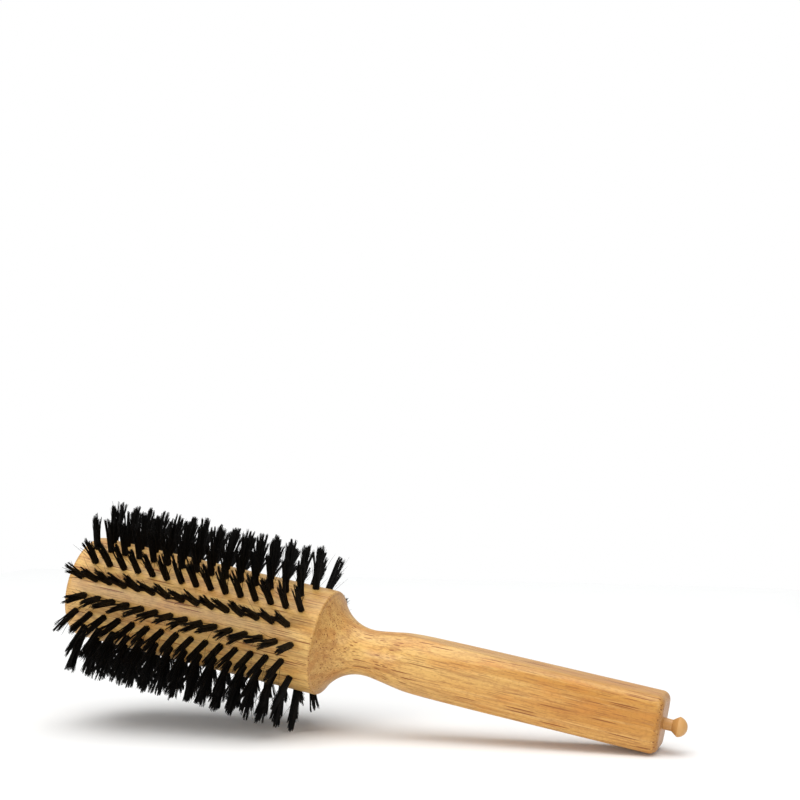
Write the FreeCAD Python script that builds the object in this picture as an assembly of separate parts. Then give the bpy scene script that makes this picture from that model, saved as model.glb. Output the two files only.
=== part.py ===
import FreeCAD, Part
import math
import os

# Round barrel brush with a sectioning pick in its handle. Millimetres.
#
# Frame: the origin is the centre of the head's flat end face, +X is that face's outward
# normal, so the handle reaches towards -X, +Z is up with the brush lying on its bristles, and
# the handle's four flats face +-Y and +-Z.
#
# Every place below is a distance back from the head's end face. The shapes are laid out with
# that distance along +X, and export() turns each half round the Z axis into the frame.

# ---- Head ---------------------------------------------------------------------------------
BARREL_RADIUS = 20.0        # a 40 mm barrel
BARREL_LENGTH = 104.8
HEAD_EDGE_RADIUS = 2.5      # rounding round the head's end face
SHOULDER_EDGE_RADIUS = 1.3  # rounding where the barrel stops short of the shoulder

# ---- Shoulder, neck and handle: (distance back, turned radius) --------------------------------
SHOULDER_START = (BARREL_LENGTH, 18.7)
TURNED_POINTS = [
    (108.2, 14.5),
    (112.3, 11.2),
    (116.8, 9.3),
    (121.8, 8.76),
    (128.5, 9.6),
    (134.3, 10.55),
    (141.8, 11.4),
    (156.8, 12.0),
    (175.8, 12.6),
    (198.8, 13.2),
]
SHOULDER_SLOPE = (1.0, -1.35)
BODY_LENGTH = 233.8
FLAT_HALF = 10.5            # half the handle's width across flats
FLAT_CORNER_RADIUS = 4.5
END_EDGE_RADIUS = 3.0       # rounding round the handle's end face
FLATS_START = 125.8         # inside the neck, where the turned radius is under FLAT_HALF

# ---- Tufts ------------------------------------------------------------------------------------
ROW_COUNT = 18
TUFTS_PER_ROW = 15
TUFT_PITCH = 6.26
FIRST_TUFT = 6.1            # in odd rows; even rows start half a pitch further on
FIRST_ROW_ANGLE = 10.0      # degrees from straight up
HOLE_RADIUS = 1.2
HOLE_DEPTH = 8.0
BRISTLE_REACH = 36.3        # from the brush's axis to the tuft's tip
TUFT_FOOT_RADIUS = 0.95     # where the folded bristles sit on their anchor
TUFT_TIP_RADIUS = 1.8
TUFT_TIP_ROUNDING = 1.0

# ---- Tuft anchors: flat metal staples across the foot of each hole -----------------------------
ANCHOR_WIDTH = 2.7          # wider than the hole, so that its ends bite into the wood
ANCHOR_THICKNESS = 0.4
ANCHOR_HEIGHT = 1.6

# ---- Sectioning pick -----------------------------------------------------------------------------
PIN_RADIUS = 2.1
PIN_CLEARANCE = 0.05
PIN_LENGTH = 78.0           # inside the handle
PIN_COLLAR = 14.0           # straight length behind the mouth of the bore
PIN_TIP_RADIUS = 1.0
BORE_SPARE = 2.0            # empty depth beyond the pin's tip
KNOB_NECK = 3.0
KNOB_FLARE = 2.2
KNOB_RIM_RADIUS = 3.65
KNOB_DOME = 3.2

X_AXIS = FreeCAD.Vector(1, 0, 0)
Z_AXIS = FreeCAD.Vector(0, 0, 1)
ORIGIN = FreeCAD.Vector(0, 0, 0)


def in_plane(x, r):
    """A point of a turned outline: x back from the head's end, r out from the axis."""
    return FreeCAD.Vector(x, 0, r)


def line(start, end):
    return Part.makeLine(in_plane(*start), in_plane(*end))


def quarter_round(start, end, centre):
    """The quarter circle from start to end round centre, each given as (x, r)."""
    radius = math.dist(start, centre)
    middle = [c + ((s - c) + (e - c)) / math.sqrt(2) for s, e, c in zip(start, end, centre)]
    assert abs(math.dist(end, centre) - radius) < 1e-6
    return Part.Arc(in_plane(*start), in_plane(*middle), in_plane(*end)).toShape()


def turned(edges):
    """The solid made by turning a closed outline, given as edges in order, round the X axis."""
    face = Part.Face(Part.Wire(edges))
    return face.revolve(ORIGIN, X_AXIS, 360)


def turned_blank():
    """The wood as it leaves the lathe: barrel, shoulder, neck and a round handle."""
    last_x, handle_radius = TURNED_POINTS[-1]
    head_corner = (HEAD_EDGE_RADIUS, BARREL_RADIUS)
    barrel_end = (BARREL_LENGTH - SHOULDER_EDGE_RADIUS, BARREL_RADIUS)
    lip = (BARREL_LENGTH, BARREL_RADIUS - SHOULDER_EDGE_RADIUS)
    curve = Part.BSplineCurve()
    curve.interpolate(
        Points=[in_plane(*p) for p in [SHOULDER_START] + TURNED_POINTS],
        InitialTangent=in_plane(*SHOULDER_SLOPE),
        FinalTangent=X_AXIS,
    )
    return turned([
        line((0, 0), (0, BARREL_RADIUS - HEAD_EDGE_RADIUS)),
        quarter_round(
            (0, BARREL_RADIUS - HEAD_EDGE_RADIUS),
            head_corner,
            (HEAD_EDGE_RADIUS, BARREL_RADIUS - HEAD_EDGE_RADIUS),
        ),
        line(head_corner, barrel_end),
        quarter_round(barrel_end, lip, (barrel_end[0], lip[1])),
        curve.toShape(),
        line((last_x, handle_radius), (BODY_LENGTH, handle_radius)),
        line((BODY_LENGTH, handle_radius), (BODY_LENGTH, 0)),
        line((BODY_LENGTH, 0), (0, 0)),
    ])


def flats_envelope():
    """A rounded square bar round the handle, and clear space round everything else."""
    length = BODY_LENGTH - FLATS_START
    corner = FreeCAD.Vector(FLATS_START, -FLAT_HALF, -FLAT_HALF)
    bar = Part.makeBox(length, 2 * FLAT_HALF, 2 * FLAT_HALF, corner)
    long_edges = [e for e in bar.Edges if abs(e.Length - length) < 1e-6]
    bar = bar.makeFillet(FLAT_CORNER_RADIUS, long_edges)
    end_edges = [e for e in bar.Edges if e.BoundBox.XMin > BODY_LENGTH - 1e-6]
    bar = bar.makeFillet(END_EDGE_RADIUS, end_edges)
    start = FreeCAD.Vector(-1, 0, 0)
    clear = Part.makeCylinder(2 * BARREL_RADIUS, FLATS_START + 1, start, X_AXIS)
    return bar.fuse(clear)


def tuft_places():
    """(row number, angle in degrees, x) of every tuft."""
    for row in range(1, ROW_COUNT + 1):
        angle = FIRST_ROW_ANGLE + (row - 1) * 360 / ROW_COUNT
        stagger = 0 if row % 2 else TUFT_PITCH / 2
        for i in range(TUFTS_PER_ROW):
            yield row, angle, FIRST_TUFT + stagger + i * TUFT_PITCH


def at_tuft(shape, angle, x):
    """A copy of a shape that was made standing straight up at x = 0, put at a tuft's place."""
    copy = shape.copy()
    copy.rotate(ORIGIN, X_AXIS, -angle)
    copy.translate(FreeCAD.Vector(x, 0, 0))
    return copy


def anchor_plate():
    """The flat anchor, lying across the bottom of a hole that points straight up."""
    foot = FreeCAD.Vector(
        -ANCHOR_WIDTH / 2,
        -ANCHOR_THICKNESS / 2,
        BARREL_RADIUS - HOLE_DEPTH,
    )
    return Part.makeBox(ANCHOR_WIDTH, ANCHOR_THICKNESS, ANCHOR_HEIGHT, foot)


def tuft_hole():
    """What is missing from the wood at one tuft: the blind hole and the anchor's bite."""
    foot = FreeCAD.Vector(0, 0, BARREL_RADIUS - HOLE_DEPTH)
    hole = Part.makeCylinder(HOLE_RADIUS, HOLE_DEPTH + 1, foot, Z_AXIS)
    return hole.fuse(anchor_plate())


def tuft():
    """One bundle of bristles as a plain closed solid, from its anchor to its rounded tip."""
    foot = BARREL_RADIUS - HOLE_DEPTH + ANCHOR_HEIGHT
    shoulder = BRISTLE_REACH - TUFT_TIP_ROUNDING
    cone = Part.makeCone(
        TUFT_FOOT_RADIUS,
        TUFT_TIP_RADIUS,
        shoulder - foot,
        FreeCAD.Vector(0, 0, foot),
        Z_AXIS,
    )
    crown = Part.makeCone(
        TUFT_TIP_RADIUS,
        TUFT_TIP_RADIUS - TUFT_TIP_ROUNDING,
        TUFT_TIP_ROUNDING,
        FreeCAD.Vector(0, 0, shoulder),
        Z_AXIS,
    )
    return cone.fuse(crown)


def pick_bore():
    """The blind bore in the handle's end that holds the pick."""
    depth = PIN_LENGTH + BORE_SPARE
    start = FreeCAD.Vector(BODY_LENGTH - depth, 0, 0)
    return Part.makeCylinder(PIN_RADIUS + PIN_CLEARANCE, depth + 1, start, X_AXIS)


def wooden_body():
    body = turned_blank().common(flats_envelope())
    hole = tuft_hole()
    tools = [at_tuft(hole, angle, x) for _, angle, x in tuft_places()]
    return body.cut(tools + [pick_bore()])


def sectioning_pick():
    """The moulded pick: a blunt tapered pin, a thin neck and a domed knob to pull it by."""
    tip = BODY_LENGTH - PIN_LENGTH
    collar = BODY_LENGTH - PIN_COLLAR
    neck = BODY_LENGTH + KNOB_NECK
    rim = neck + KNOB_FLARE
    top = rim + KNOB_DOME
    tip_shoulder = (tip + PIN_TIP_RADIUS, PIN_TIP_RADIUS)
    dome_radius = (KNOB_RIM_RADIUS**2 + KNOB_DOME**2) / (2 * KNOB_DOME)
    dome_centre = top - dome_radius
    half_turn = math.asin(KNOB_RIM_RADIUS / dome_radius) / 2
    dome = Part.Arc(
        in_plane(rim, KNOB_RIM_RADIUS),
        in_plane(
            dome_centre + dome_radius * math.cos(half_turn),
            dome_radius * math.sin(half_turn),
        ),
        in_plane(top, 0),
    ).toShape()
    return turned([
        quarter_round((tip, 0), tip_shoulder, (tip + PIN_TIP_RADIUS, 0)),
        line(tip_shoulder, (collar, PIN_RADIUS)),
        line((collar, PIN_RADIUS), (neck, PIN_RADIUS)),
        line((neck, PIN_RADIUS), (rim, KNOB_RIM_RADIUS)),
        dome,
        line((top, 0), (tip, 0)),
    ])


def export(name, shape):
    """Turns a shape into the frame and writes its STEP file."""
    shape = shape.copy()
    shape.rotate(ORIGIN, Z_AXIS, 180)
    assert shape.isValid(), name
    shape.exportStep(os.path.join("parts", name + ".step"))
    print(name, "solids", len(shape.Solids), "volume", round(shape.Volume, 2))


def main():
    os.makedirs("parts", exist_ok=True)
    export("wooden_body", wooden_body().Solids[0])
    export("sectioning_pick", sectioning_pick().Solids[0])
    plate = anchor_plate()
    anchors = [at_tuft(plate, angle, x) for _, angle, x in tuft_places()]
    export("tuft_anchors", Part.makeCompound(anchors))
    bundle = tuft()
    rows = {}
    for row, angle, x in tuft_places():
        rows.setdefault(row, []).append(at_tuft(bundle, angle, x))
    for row, tufts in rows.items():
        export(f"bristle_row_{row:02d}", Part.makeCompound(tufts))


main()
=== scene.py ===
# %% [markdown]
# # A round barrel brush
# The brush is one turned piece of pale wood: a 40 mm barrel, a hollowed shoulder, a thin neck
# and a squared handle. Eighteen rows of black bristle tufts stand on the barrel and a small
# pick is kept in the handle. The CAD model holds every size and every moving part. This
# lesson loads it as a fixed frame and builds the looks round it: the lacquered wood, the
# frayed bristles, the pick's plastic, and the table and light that show them.

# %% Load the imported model
import math
import random

import bmesh
import bpy
from mathutils import Matrix, Vector


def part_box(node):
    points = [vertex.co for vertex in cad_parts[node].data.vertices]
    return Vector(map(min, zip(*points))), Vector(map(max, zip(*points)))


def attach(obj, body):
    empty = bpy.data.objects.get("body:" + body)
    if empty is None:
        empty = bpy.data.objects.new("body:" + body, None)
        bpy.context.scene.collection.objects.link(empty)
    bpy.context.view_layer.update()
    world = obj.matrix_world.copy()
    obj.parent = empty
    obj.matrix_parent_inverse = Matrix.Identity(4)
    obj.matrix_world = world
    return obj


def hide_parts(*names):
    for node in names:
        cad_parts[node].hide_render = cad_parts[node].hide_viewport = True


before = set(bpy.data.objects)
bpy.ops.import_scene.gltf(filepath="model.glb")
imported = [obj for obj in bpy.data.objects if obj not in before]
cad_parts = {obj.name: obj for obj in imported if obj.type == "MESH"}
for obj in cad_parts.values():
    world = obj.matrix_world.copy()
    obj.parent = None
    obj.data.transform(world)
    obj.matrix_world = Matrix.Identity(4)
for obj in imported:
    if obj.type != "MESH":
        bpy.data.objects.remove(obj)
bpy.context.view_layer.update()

# %% [markdown]
# ## Measurements
# The frame's X axis points out of the head's flat end, so everything lies at negative X.
# Distances are easier to think of as "back from the head's end". The sizes below are read
# from the CAD nodes' boxes wherever a box shows them, so the looks follow the design.

# %% Measure the brush
MM = 0.001
body_low, body_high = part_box("wooden_body")
BARREL_RADIUS = body_high.z
BODY_LENGTH = -body_low.x
row_names = sorted(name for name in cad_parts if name.startswith("bristle_row"))
ROW_STEP = 2 * math.pi / len(row_names)
print("barrel radius", round(BARREL_RADIUS / MM, 2), "body", round(BODY_LENGTH / MM, 1))
print(len(row_names), "rows of tufts")

# %% [markdown]
# ## Shader maths written as sums
# A material is a graph of nodes, but most of what a wood needs is arithmetic on noise.
# Wrapping a socket in a small class lets the sums be written as Python expressions: each
# operator adds its Math node. One `node` method makes every other node.

# %% A wrapped socket and a recipe for a finish
class Wire:
    """One output socket. Arithmetic on it adds Math nodes to its finish."""

    def __init__(self, finish, socket):
        self.finish = finish
        self.socket = socket

    def math(self, operation, *values):
        settings = {"operation": operation}
        return self.finish.node("ShaderNodeMath", settings, dict(enumerate(values)))

    def __add__(self, other):
        return self.math("ADD", self, other)

    def __sub__(self, other):
        return self.math("SUBTRACT", self, other)

    def __rsub__(self, other):
        return self.math("SUBTRACT", other, self)

    def __mul__(self, other):
        return self.math("MULTIPLY", self, other)

    def __abs__(self):
        return self.math("ABSOLUTE", self)

    __radd__ = __add__
    __rmul__ = __mul__


class Finish:
    """A new material, or the studio's world, and the nodes that make it."""

    def __init__(self, name, kind=None):
        self.made = (bpy.data.materials if kind is None else kind).new(name)
        self.made.use_nodes = True
        self.tree = self.made.node_tree
        self.tree.nodes.clear()

    def node(self, kind, settings=None, values=None, out=0):
        """Adds one node: its settings first, then the values or links of its sockets."""
        made = self.tree.nodes.new(kind)
        for name, setting in (settings or {}).items():
            setattr(made, name, setting)
        for key, value in (values or {}).items():
            if isinstance(value, Wire):
                self.tree.links.new(value.socket, made.inputs[key])
            else:
                made.inputs[key].default_value = value
        return Wire(self, made.outputs[out]) if made.outputs else None

    def coordinates(self, along, across):
        """Object coordinates, stretched so that one unit is `along` by `across` metres."""
        place = self.node("ShaderNodeTexCoord", out="Object")
        size = (1 / along, 1 / across, 1 / across)
        return self.node("ShaderNodeVectorMath", {"operation": "MULTIPLY"}, {0: place, 1: size})

    def noise(self, along, across, detail=2.0, roughness=0.5, distortion=0.0):
        """Noise whose blobs are about `along` metres long and `across` metres wide."""
        values = {
            "Vector": self.coordinates(along, across),
            "Scale": 1.0,
            "Detail": detail,
            "Roughness": roughness,
            "Distortion": distortion,
        }
        return self.node("ShaderNodeTexNoise", values=values)

    def step(self, value, low, high):
        """0 below low, 1 above high, smooth in between; low may be the larger one."""
        values = {0: value, 1: low, 2: high, 3: 0.0, 4: 1.0}
        return self.node("ShaderNodeMapRange", {"interpolation_type": "SMOOTHSTEP"}, values)

    def mix(self, share, first, second):
        """A colour between two, by share."""
        return self.node("ShaderNodeMix", {"data_type": "RGBA"}, {0: share, 6: first, 7: second}, 2)

    def finish(self, **sockets):
        """Joins everything to a Principled shader; underscores stand for spaces."""
        values = {name.replace("_", " "): value for name, value in sockets.items()}
        shader = self.node("ShaderNodeBsdfPrincipled", values=values)
        self.node("ShaderNodeOutputMaterial", values={"Surface": shader})
        return self.made


# %% [markdown]
# ## The wood
# The real wood is a pale golden hardwood with open pores under satin lacquer. A pore is a
# long thin tube along the grain, so it shows as a dark streak where the surface runs along
# the brush and as a dot where the lathe cut across it, on the shoulder and the end faces.
# A picture wrapped round the body would smear on the shoulder. A solid texture stretched
# along X gives both looks with no mapping at all, which is why it's used. The figure is a
# pale ground under layers of noise, from broad bands down to single fibres and pores.

# %% Wood finish
def pores(wood, length, spacing, thickness, softness):
    """Dark tubes along the grain: 1 inside a pore, 0 between them."""
    cell = {"Vector": wood.coordinates(length, spacing), "Scale": 1.0, "Randomness": 1.0}
    distance = wood.node("ShaderNodeTexVoronoi", {"feature": "F1"}, cell, "Distance")
    return wood.step(distance, thickness + softness, thickness)


PALE = (0.77, 0.485, 0.150, 1)
HONEY = (0.53, 0.235, 0.034, 1)
RIBBON = (0.81, 0.53, 0.19, 1)
FLUSH = (0.60, 0.235, 0.034, 1)
BROWN = (0.30, 0.100, 0.015, 1)
SMALL_PORE = (0.24, 0.078, 0.013, 1)
LARGE_PORE = (0.22, 0.062, 0.009, 1)
# Painted light: the handle's colour pales from its end towards the neck, where the light falls
# brighter.
PAINTED_SHADE_END, PAINTED_LIGHT_NECK = -215 * MM, -128 * MM    # the handle pales from its end to the neck


def wood_colour(wood, fibre, small, large):
    """A pale ground, painted lighter towards the neck where the light falls, with each layer of
    figure, and the end grain's partly painted shade, mixed over it by its own share.
    """
    tone = wood.noise(90 * MM, 9 * MM, detail=3.0, roughness=0.55)
    ribbon = wood.noise(35 * MM, 1.0 * MM, detail=2.0, roughness=0.55)
    flush = wood.noise(15 * MM, 4.5 * MM, detail=2.0, roughness=0.55)
    bands = wood.noise(60 * MM, 2.2 * MM, detail=2.0, roughness=0.6, distortion=0.15)
    mottle = wood.noise(1.6 * MM, 0.8 * MM, detail=2.0, roughness=0.6)

    place = wood.node("ShaderNodeTexCoord", out="Object")
    along = wood.node("ShaderNodeSeparateXYZ", values={"Vector": place}, out="X")
    normal = wood.node("ShaderNodeTexCoord", out="Normal")
    facing = wood.node("ShaderNodeSeparateXYZ", values={"Vector": normal}, out="X")
    # Faces across the grain, on the shoulder and the ends, are darker: partly the end grain's own
    # tone, partly painted shade for the light that reaches them less.
    end_grain_and_shade = wood.step(abs(facing), 0.25, 0.85)

    # Random tone, plus painted light: the ground grows paler along X towards the neck, where the
    # light falls brighter.
    tone_and_painted_light = wood.step(tone, 0.36, 0.66) * 0.40 + wood.step(along, PAINTED_SHADE_END, PAINTED_LIGHT_NECK) * 0.62
    colour = wood.mix(tone_and_painted_light, HONEY, PALE)
    layers = [
        (wood.step(ribbon, 0.50, 0.72), 0.45, RIBBON),
        (wood.step(flush, 0.48, 0.70), 0.42, FLUSH),
        (wood.step(bands, 0.48, 0.70), 0.46, BROWN),
        (wood.step(fibre, 0.48, 0.68), 0.46, BROWN),
        (wood.step(mottle, 0.44, 0.70), 0.30, BROWN),
        # partly the end grain's own darker tone, partly painted shade
        (end_grain_and_shade, 0.30, BROWN),
        (small, 0.52, SMALL_PORE),
        (large, 0.92, LARGE_PORE),
    ]
    for mask, share, tint in layers:
        colour = wood.mix(mask * share, colour, tint)
    return colour


def wood_material():
    """Satin lacquer over open-pored wood."""
    wood = Finish("lacquered wood")
    fibre = wood.noise(13 * MM, 0.45 * MM, detail=3.0, roughness=0.6)
    crowd = wood.noise(40 * MM, 4 * MM, detail=1.0)
    large = pores(wood, 26 * MM, 0.90 * MM, 0.20, 0.08) * wood.step(crowd, 0.37, 0.49)
    small = pores(wood, 11 * MM, 0.60 * MM, 0.19, 0.14) * wood.step(crowd, 0.68, 0.46)
    relief = 1 - large - small * 0.5 - fibre * 0.10
    bump = wood.node(
        "ShaderNodeBump",
        values={"Strength": 0.12, "Distance": 0.15 * MM, "Height": relief},
    )
    return wood.finish(
        Base_Color=wood_colour(wood, fibre, small, large),
        Roughness=0.44 + fibre * 0.12 + large * 0.2,
        Normal=bump,
        Specular_IOR_Level=0.40,
        Coat_Weight=0.26,
        Coat_Roughness=0.28,
    )


wood_finish = wood_material()
print(wood_finish.name, len(wood_finish.node_tree.nodes), "nodes")

# %% [markdown]
# ## The turned body
# The CAD body has every size right, but its flats meet the turned surface in hard edges, and
# on the real handle they look sanded soft. They could be bevelled, but a bevel has one width
# all along. So a new body is turned with a spin from the same outline, and its handle's
# vertices are then planed towards a soft square: each flat fades into the neck in a
# thumbnail shape. The bore for the pick is part of the turned outline.

# %% The lathe outline
LIP_TO_END = [            # (distance back from the head's end, radius), in mm
    (104.8, 18.7),
    (108.2, 14.5),
    (112.3, 11.2),
    (116.8, 9.3),
    (121.8, 8.76),
    (128.5, 9.6),
    (134.3, 10.55),
    (141.8, 11.4),
    (156.8, 12.0),
    (175.8, 12.6),
    (198.8, 13.2),
    (232.0, 13.2),
]
BARREL_LENGTH = LIP_TO_END[0][0] * MM
HEAD_EDGE = 2.5 * MM
SHOULDER_EDGE = 1.3 * MM
END_EDGE = 3.0 * MM
BORE_RADIUS = 2.15 * MM
BORE_DEPTH = 80 * MM
CLOSE_UNTIL = 160 * MM    # the outline's points lie closer up to here, where it curves
TURNED_STEPS = 192


def hermite(points, place):
    """A smooth curve through (place, radius) points, with slopes from each one's neighbours."""
    neighbours = zip([points[0], *points[:-1]], [*points[1:], points[-1]])
    slopes = [(after[1] - before[1]) / (after[0] - before[0]) for before, after in neighbours]
    i = max(k for k in range(len(points) - 1) if points[k][0] <= place)
    (x0, r0), (x1, r1) = points[i], points[i + 1]
    t = (place - x0) / (x1 - x0)
    width = x1 - x0
    return (
        r0 * (1 + 2 * t) * (1 - t) ** 2
        + slopes[i] * width * t * (1 - t) ** 2
        + r1 * t * t * (3 - 2 * t)
        + slopes[i + 1] * width * t * t * (t - 1)
    )


def turned_radius(back):
    """The outer radius of the lathe outline, back metres from the head's end."""
    last = LIP_TO_END[-1][0]
    return hermite(LIP_TO_END, min(max(back / MM, LIP_TO_END[0][0]), last)) * MM


def quarter(centre, radius, start, segments=6):
    """Points of a quarter circle, going clockwise from the angle start, in degrees."""
    angles = [math.radians(start - 90 * i / segments) for i in range(segments + 1)]
    return [
        (centre[0] + radius * math.cos(a), centre[1] + radius * math.sin(a)) for a in angles
    ]


def even(start, end, count):
    """Places from start to end, both included."""
    return [start + (end - start) * i / count for i in range(count + 1)]


def body_outline():
    """The outline as (distance back, radius), from the head's centre to the bore's end."""
    outline = [(0.0, 0.0), (0.0, 0.5 * BARREL_RADIUS)]
    outline += quarter((HEAD_EDGE, BARREL_RADIUS - HEAD_EDGE), HEAD_EDGE, 180)
    lip = BARREL_LENGTH - SHOULDER_EDGE
    outline += [(x, BARREL_RADIUS) for x in even(HEAD_EDGE, lip, 24)[1:-1]]
    outline += quarter((lip, BARREL_RADIUS - SHOULDER_EDGE), SHOULDER_EDGE, 90)
    handle_end = BODY_LENGTH - END_EDGE
    stations = even(BARREL_LENGTH, CLOSE_UNTIL, 96) + even(CLOSE_UNTIL, handle_end, 40)[1:]
    outline += [(x, turned_radius(x)) for x in stations[1:-1]]
    end_radius = turned_radius(handle_end)
    outline += quarter((handle_end, end_radius - END_EDGE), END_EDGE, 90, 8)
    outline += [(BODY_LENGTH, 0.5 * end_radius), (BODY_LENGTH, BORE_RADIUS)]
    outline += [(BODY_LENGTH - BORE_DEPTH * share, BORE_RADIUS) for share in (0.01, 0.5, 1.0)]
    outline += [(BODY_LENGTH - BORE_DEPTH, 0.0)]
    return outline


outline = body_outline()
print("outline points:", len(outline))

# %% Turn it, then plane the flats
FLAT_HALF = 10.5 * MM
SQUARENESS = 5.2      # the power of the superellipse: 2 is round, more is squarer
SANDED = 0.04 * MM    # how softly a flat runs into the turned surface
FLATS_START = 122 * MM
BORE_MARGIN = 1.01    # vertices within this many bore radii belong to the bore


def softer_of(first, second, softness):
    """The smaller of two lengths, with the change from one to the other rounded off."""
    gap = (first - second) / softness
    return min(first, second) - softness * math.log1p(math.exp(-abs(gap)))


def plane_flats(mesh):
    """Moves the handle's vertices in to a soft square, and leaves the bore round."""
    rim = turned_radius(BODY_LENGTH) - END_EDGE
    for vertex in mesh.verts:
        back = -vertex.co.x
        radius = math.hypot(vertex.co.y, vertex.co.z)
        if back < FLATS_START or radius < BORE_RADIUS * BORE_MARGIN:
            continue
        across, up = abs(vertex.co.y) / radius, abs(vertex.co.z) / radius
        square = FLAT_HALF / (across**SQUARENESS + up**SQUARENESS) ** (1 / SQUARENESS)
        outer = turned_radius(back)
        cut = outer - softer_of(outer, square, SANDED)
        share = min(1.0, (radius - BORE_RADIUS) / (rim - BORE_RADIUS))
        scale = (radius - cut * share) / radius
        vertex.co.y *= scale
        vertex.co.z *= scale


def turned_piece(points):
    """A bmesh turned round the X axis from an outline of (distance back, radius)."""
    mesh = bmesh.new()
    verts = [mesh.verts.new((-x, 0, r)) for x, r in points]
    edges = [mesh.edges.new(pair) for pair in zip(verts, verts[1:])]
    bmesh.ops.spin(
        mesh,
        geom=verts + edges,
        cent=(0, 0, 0),
        axis=(1, 0, 0),
        angle=2 * math.pi,
        steps=TURNED_STEPS,
        use_merge=True,
        use_duplicate=False,
    )
    bmesh.ops.remove_doubles(mesh, verts=mesh.verts, dist=1e-6)
    bmesh.ops.recalc_face_normals(mesh, faces=mesh.faces)
    return mesh


def as_object(name, mesh, material, crease=30):
    """Finishes a bmesh as an object that's smooth except across edges sharper than crease."""
    for face in mesh.faces:
        face.smooth = True
    for edge in mesh.edges:
        edge.smooth = edge.calc_face_angle(0) < math.radians(crease)
    data = bpy.data.meshes.new(name)
    mesh.to_mesh(data)
    mesh.free()
    data.materials.append(material)
    made = bpy.data.objects.new(name, data)
    bpy.context.scene.collection.objects.link(made)
    print(name, len(data.polygons), "faces")
    return made


body_mesh = turned_piece(outline)
plane_flats(body_mesh)
bmesh.ops.recalc_face_normals(body_mesh, faces=body_mesh.faces)
turned_body = as_object("turned_body", body_mesh, wood_finish)
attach(turned_body, "brush")
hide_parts("wooden_body")

# %% [markdown]
# ## The bristles
# Each tuft is a bundle of stiff black hairs, folded over a metal anchor in its hole. It
# leaves the wood as a tight round rod and frays into a few pointed locks of uneven length.
# Painted cones would never look frayed, and a hair system would not survive the export, so
# every hair is a thin tapered curve, made a mesh at the end. A tuft is first divided into
# locks, and the hairs of one lock end close together. A curve has a thickness at each point,
# which gives the taper. Each row has its own seed, so it comes out the same every time.

# %% Bristle finish
BLACK = (0.0015, 0.0014, 0.0013, 1)
BROWN_BLACK = (0.007, 0.0052, 0.004, 1)


def bristle_material():
    """Nearly black, a little browner and rougher in places, with a weak shine."""
    hair = Finish("black bristle")
    streak = hair.noise(1.2 * MM, 0.9 * MM, detail=2.0)
    colour = hair.mix(hair.step(streak, 0.40, 0.75), BLACK, BROWN_BLACK)
    return hair.finish(
        Base_Color=colour,
        Roughness=0.42 + streak * 0.2,
        Specular_IOR_Level=0.12,
    )


bristle_finish = bristle_material()

# %% One hair, one tuft, one row
TUFTS = 15                   # in a row
HAIRS = 100                  # in a tuft
LOCKS = 6                    # in a tuft
WISPS = (0, 1, 1, 2)         # how many loose thin hairs may leave a tuft sideways
STRAYS = 0.06                # the share of hairs that stand away from their lock
ROOT_SPREAD = 1.27 * MM      # radius of the bundle where it leaves the wood
HAIR_RADIUS = 0.125 * MM
EXPOSED = 15.9 * MM
SUNK = 2.5 * MM              # how far the hairs start below the barrel's surface
TUFT_TIP = 1.8 * MM          # the CAD tuft's radius at its tip
TUFT_LEAN = 0.45 * MM        # spread of a whole tuft's lean, at the tips
TUFT_UNEVEN = 0.35 * MM      # spread of the tufts' lengths
LOCK_UNEVEN = 1.1 * MM       # spread of the locks' lengths in a tuft
HAIR_UNEVEN = 0.9 * MM       # spread of the hairs' lengths in a lock
LOCK_REACH = (0.75 * MM, 1.95 * MM)    # how far off the tuft's axis the outer locks end
MIDDLE_REACH = 0.5 * MM                # and the middle one, at most
LOCK_SPREAD = 0.26 * MM                # spread of a lock's hair tips
STRAY_SPREAD = 1.1 * MM                # the same for the strays
STRAY_SHORTER = 5 * MM                 # how much shorter a stray may be
WISP_REACH = (2.5 * MM, 6.0 * MM)
WISP_LENGTHS = (0.55, 0.95)            # shares of the tuft's length
WISP_GIRTH = 0.55                      # share of a hair's thickness
FRAY = (1.9, 2.8)                      # the larger, the later a hair bends outwards
WISP_FRAY = 1.6
STATIONS = (0.0, 0.30, 0.58, 0.82, 1.0)    # shares of a hair's length, from its foot
TAPER = (1.0, 1.0, 1.0, 0.85, 0.45)        # its thickness at each of them


def in_disc(rng, radius):
    """A random point of a disc, as (along, across)."""
    turn, reach = rng.uniform(0, 2 * math.pi), radius * math.sqrt(rng.random())
    return Vector((reach * math.cos(turn), reach * math.sin(turn)))


def add_hair(curve, place, root, tip, length, fray, girth=1.0):
    """One hair as a spline: straight at the root, then bending out to its tip."""
    spline = curve.splines.new("POLY")
    spline.points.add(len(STATIONS) - 1)
    for point, share, taper in zip(spline.points, STATIONS, TAPER):
        offset = root.lerp(tip, share**fray)
        height = BARREL_RADIUS - SUNK + (length + SUNK) * share
        point.co = (*(place @ Vector((offset.x, offset.y, height))), 1)
        point.radius = taper * girth
    spline.use_smooth = True


def tuft_locks(rng):
    """The locks of one tuft, as (where the lock's tip lies off the tuft's axis, length)."""
    tuft_length = EXPOSED + rng.gauss(0, TUFT_UNEVEN)
    locks = []
    for k in range(LOCKS):
        turn = 2 * math.pi * (k + rng.uniform(-0.3, 0.3)) / LOCKS
        reach = rng.uniform(*LOCK_REACH) if k else rng.uniform(0, MIDDLE_REACH)
        centre = Vector((math.cos(turn), math.sin(turn))) * reach
        locks.append((centre, tuft_length - abs(rng.gauss(0, LOCK_UNEVEN))))
    return locks


def nearest_lock(rng, locks, root):
    """The lock that a hair joins: roughly the nearest one to its root."""
    def distance(lock):
        return (lock[0] * 0.6 - root).length + rng.uniform(0, 0.5) * MM

    return min(locks, key=distance)


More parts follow.
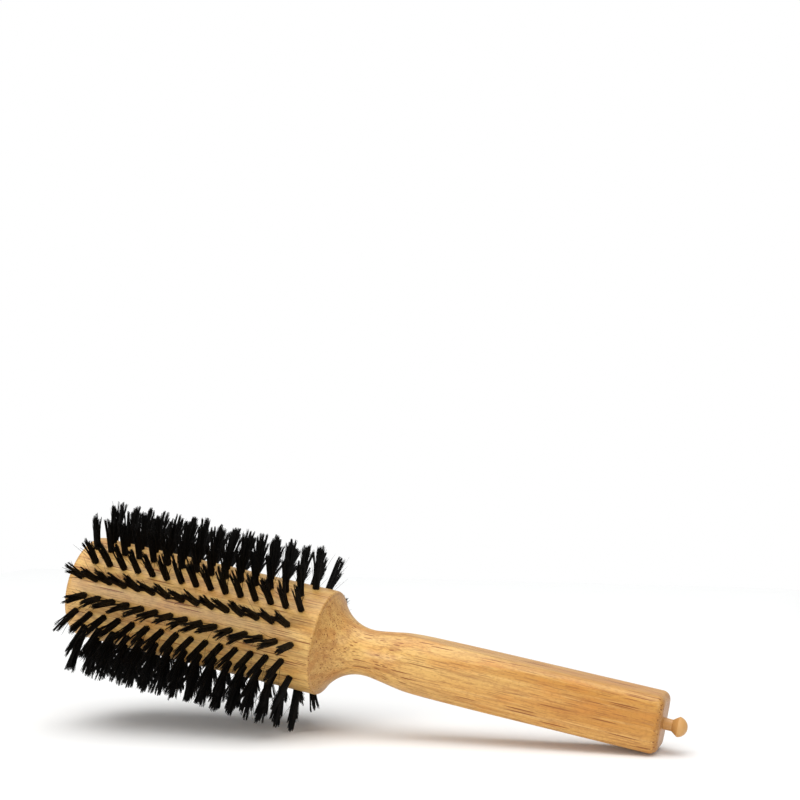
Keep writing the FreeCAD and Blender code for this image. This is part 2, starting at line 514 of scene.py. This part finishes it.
def add_tuft(curve, rng, place):
    """A bundle of hairs gathered into a few locks, leaning its own small way."""
    lean = Vector((rng.gauss(0, TUFT_LEAN), rng.gauss(0, TUFT_LEAN)))
    locks = tuft_locks(rng)
    for _ in range(HAIRS):
        root = in_disc(rng, ROOT_SPREAD)
        lock_tip, lock_length = nearest_lock(rng, locks, root)
        stray = rng.random() < STRAYS
        spread = STRAY_SPREAD if stray else LOCK_SPREAD
        tip = lock_tip + lean + Vector((rng.gauss(0, spread), rng.gauss(0, spread)))
        length = lock_length - abs(rng.gauss(0, HAIR_UNEVEN))
        if stray:
            length -= rng.uniform(0, STRAY_SHORTER)
        add_hair(curve, place, root, tip, length, rng.uniform(*FRAY))
    for _ in range(rng.choice(WISPS)):
        root, far = in_disc(rng, ROOT_SPREAD), in_disc(rng, 1)
        tip = root + far.normalized() * rng.uniform(*WISP_REACH)
        length = EXPOSED * rng.uniform(*WISP_LENGTHS)
        add_hair(curve, place, root, tip, length, WISP_FRAY, WISP_GIRTH)


def tuft_places(row):
    """Where a row's tufts stand: matrices that turn straight up into each tuft's direction."""
    low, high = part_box(row)
    first, last = high.x - TUFT_TIP, low.x + TUFT_TIP
    angle = (row_names.index(row) + 0.5) * ROW_STEP
    turn = Matrix.Rotation(angle, 4, "X")
    return [Matrix.Translation((x, 0, 0)) @ turn for x in even(first, last, TUFTS - 1)]


def bristle_piece(row):
    """All the hairs of one row, as a mesh that stands for the row's CAD tufts."""
    number = row[-2:]
    rng = random.Random(int(number))
    curve = bpy.data.curves.new("bristles_" + number, "CURVE")
    curve.dimensions = "3D"
    curve.bevel_depth = HAIR_RADIUS
    curve.bevel_resolution = 0
    curve.use_fill_caps = True
    for place in tuft_places(row):
        add_tuft(curve, rng, place)
    rough = bpy.data.objects.new("rough", curve)
    bpy.context.scene.collection.objects.link(rough)
    data = bpy.data.meshes.new_from_object(rough)
    bpy.data.objects.remove(rough)
    data.name = "bristles_" + number
    data.materials.clear()
    data.materials.append(bristle_finish)
    data.shade_smooth()
    piece = bpy.data.objects.new("bristles_" + number, data)
    bpy.context.scene.collection.objects.link(piece)
    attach(piece, "brush")
    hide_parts(row)
    return piece


bristle_rows = [bristle_piece(row) for row in row_names]
print("faces in a row:", len(bristle_rows[0].data.polygons))

# %% [markdown]
# ## The pick and the anchors
# The pick is moulded in a tan plastic that matches the wood, smooth but not glossy. It could
# be turned again like the body, but its CAD shape is right, so it only gets a finish: a slow
# change of tone, and a faint mottle in the gloss as moulded plastic has. The anchors are
# small flat staples, hidden in the wood, and get a brass with fine lines along it.

# %% Finish the pick and the anchors
TAN, LIGHT_TAN = (0.60, 0.31, 0.095, 1), (0.68, 0.375, 0.125, 1)
BRASS, LIGHT_BRASS = (0.72, 0.52, 0.22, 1), (0.80, 0.62, 0.30, 1)


def pick_material():
    """A smooth plastic with a slightly uneven tone and gloss."""
    plastic = Finish("tan moulded plastic")
    cloud = plastic.noise(6 * MM, 6 * MM, detail=2.0)
    grit = plastic.noise(0.35 * MM, 0.35 * MM, detail=2.0)
    bump = plastic.node(
        "ShaderNodeBump",
        values={"Strength": 0.08, "Distance": 0.05 * MM, "Height": grit},
    )
    return plastic.finish(
        Base_Color=plastic.mix(cloud, TAN, LIGHT_TAN),
        Roughness=0.36 + grit * 0.12,
        Normal=bump,
        Specular_IOR_Level=0.5,
    )


def anchor_material():
    """Brass with fine lines along it, as drawing leaves them."""
    metal = Finish("drawn brass")
    draw = metal.noise(1.5 * MM, 0.1 * MM, detail=2.0)
    colour = metal.mix(draw, BRASS, LIGHT_BRASS)
    return metal.finish(Base_Color=colour, Roughness=0.28 + draw * 0.15, Metallic=1.0)


def refinish(node, material):
    """Puts a new material on a CAD node."""
    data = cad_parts[node].data
    data.materials.clear()
    data.materials.append(material)


refinish("sectioning_pick", pick_material())
refinish("tuft_anchors", anchor_material())
print("pick and anchors finished")

# %% [markdown]
# ## The table
# The brush lies on the tips of its last tufts and on the end of its handle. The brush could
# be turned to lie so, but the CAD frame stays put, so the table slopes instead: it passes
# through those two resting points. Past the handle's end it bends down, because the pick is
# drawn out along the brush's own axis and would otherwise go through it.

# %% The table
FLOOR_SIZE = 1.3
FLOOR_STEPS = 130
FLOOR_BEND = 20 * MM    # the length over which the floor bends down
last_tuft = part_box("bristle_row_02")[0].x + TUFT_TIP
tip_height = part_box("bristle_row_09")[0].z
heel = Vector((-BODY_LENGTH, 0, -FLAT_HALF))
toe = Vector((last_tuft, 0, tip_height))
slope = math.atan2(heel.z - toe.z, toe.x - heel.x)
table = Matrix.Translation(heel) @ Matrix.Rotation(slope, 4, "Y")
print("table slope in degrees:", round(math.degrees(slope), 2))

# %% Bend it past the handle
floor_mesh = bmesh.new()
bmesh.ops.create_grid(floor_mesh, x_segments=FLOOR_STEPS, y_segments=1, size=FLOOR_SIZE / 2)
for vertex in floor_mesh.verts:
    beyond = max(0.0, -vertex.co.x)
    vertex.co.z = -math.tan(slope) * (math.hypot(beyond, FLOOR_BEND) - FLOOR_BEND)
bmesh.ops.transform(floor_mesh, matrix=table, verts=floor_mesh.verts)
bmesh.ops.recalc_face_normals(floor_mesh, faces=floor_mesh.faces)
floor_finish = Finish("pale tabletop")
cloud = floor_finish.noise(40 * MM, 40 * MM, detail=2.0)
floor_finish.finish(
    Base_Color=floor_finish.mix(cloud, (0.96, 0.965, 0.97, 1), (0.97, 0.975, 0.98, 1)),
    Roughness=0.8,
    Specular_IOR_Level=0.0,
)
floor = as_object("floor", floor_mesh, floor_finish.made)

# %% [markdown]
# ## The light
# A catalogue picture of a brush is lit by broad white surfaces. One large soft box hangs over
# the table, and two small ones near the table's height lift the side towards the camera. The
# world is white where the camera sees it. It is less white in reflections, where it gives the
# lacquer bright edges, and its own light is dim, so that it doesn't wash the shadow out.

# %% The soft boxes
brush_middle = Vector((-BODY_LENGTH / 2, 0, 0))


def softbox(name, place, size, power, colour):
    """A square area light at a place on the table's own axes, aimed at the brush's middle."""
    lamp = bpy.data.lights.new(name, "AREA")
    lamp.shape = "SQUARE"
    lamp.size = size
    lamp.energy = power
    lamp.color = colour
    made = bpy.data.objects.new(name, lamp)
    made.location = brush_middle + table.to_3x3() @ Vector(place)
    made.rotation_euler = (brush_middle - made.location).to_track_quat("-Z", "Y").to_euler()
    bpy.context.scene.collection.objects.link(made)
    return made


NEARLY_WHITE = (1.0, 0.985, 0.96)
WARM_WHITE = (1.0, 0.98, 0.95)
softbox("overhead softbox", (0.1, 0.4, 4.0), size=5.0, power=198.0, colour=NEARLY_WHITE)
softbox("left softbox", (0.55, 0.85, 0.26), size=0.40, power=3.8, colour=WARM_WHITE)
softbox("right softbox", (-0.75, 0.75, 0.40), size=0.50, power=2.8, colour=WARM_WHITE)
print("soft boxes placed round the brush's middle")

# %% The world
DIM_BLUE = (0.88, 0.94, 1.0, 1)
DIM_STRENGTH = 0.23
MIRRORED_SHARE = 0.6    # how far reflections go from the dim world to the white one


def background(colour, strength):
    """An even light from all round."""
    return studio.node("ShaderNodeBackground", values={"Color": colour, "Strength": strength})


studio = Finish("studio", bpy.data.worlds)
dim = background(DIM_BLUE, DIM_STRENGTH)
white = background((1, 1, 1, 1), 1.0)
seen = studio.node("ShaderNodeLightPath", out="Is Camera Ray")
mirrored = studio.node("ShaderNodeLightPath", out="Is Glossy Ray")
whiteness = seen + mirrored * MIRRORED_SHARE
room = studio.node("ShaderNodeMixShader", values={0: whiteness, 1: dim, 2: white})
studio.node("ShaderNodeOutputWorld", values={"Surface": room})
bpy.context.scene.world = studio.made
bpy.context.scene.view_settings.view_transform = "Standard"
print("world:", len(studio.tree.nodes), "nodes")

# %% [markdown]
# ## The camera
# A fairly long lens stands about 60 cm away on the brush's own +Y side, a little behind the
# handle's end and a little above the brush, rolled so that the table looks level. Its place
# is in the brush's frame, so that nothing else has to move.

# %% The camera
LENS = 68.56                                  # mm, on a 36 mm wide sensor
CAMERA_PLACE = (-0.29283, 0.54692, 0.11132)
CAMERA_TURN = (88.461, -9.919, -161.806)      # degrees about X, Y and Z
camera_data = bpy.data.cameras.new("camera")
camera_data.lens = LENS
camera_data.sensor_width = 36.0
camera_data.clip_start = 10 * MM
camera = bpy.data.objects.new("camera", camera_data)
camera.location = CAMERA_PLACE
camera.rotation_euler = [math.radians(angle) for angle in CAMERA_TURN]
bpy.context.scene.collection.objects.link(camera)
bpy.context.scene.camera = camera
print("camera to the brush's middle, m:", round((camera.location - brush_middle).length, 3))
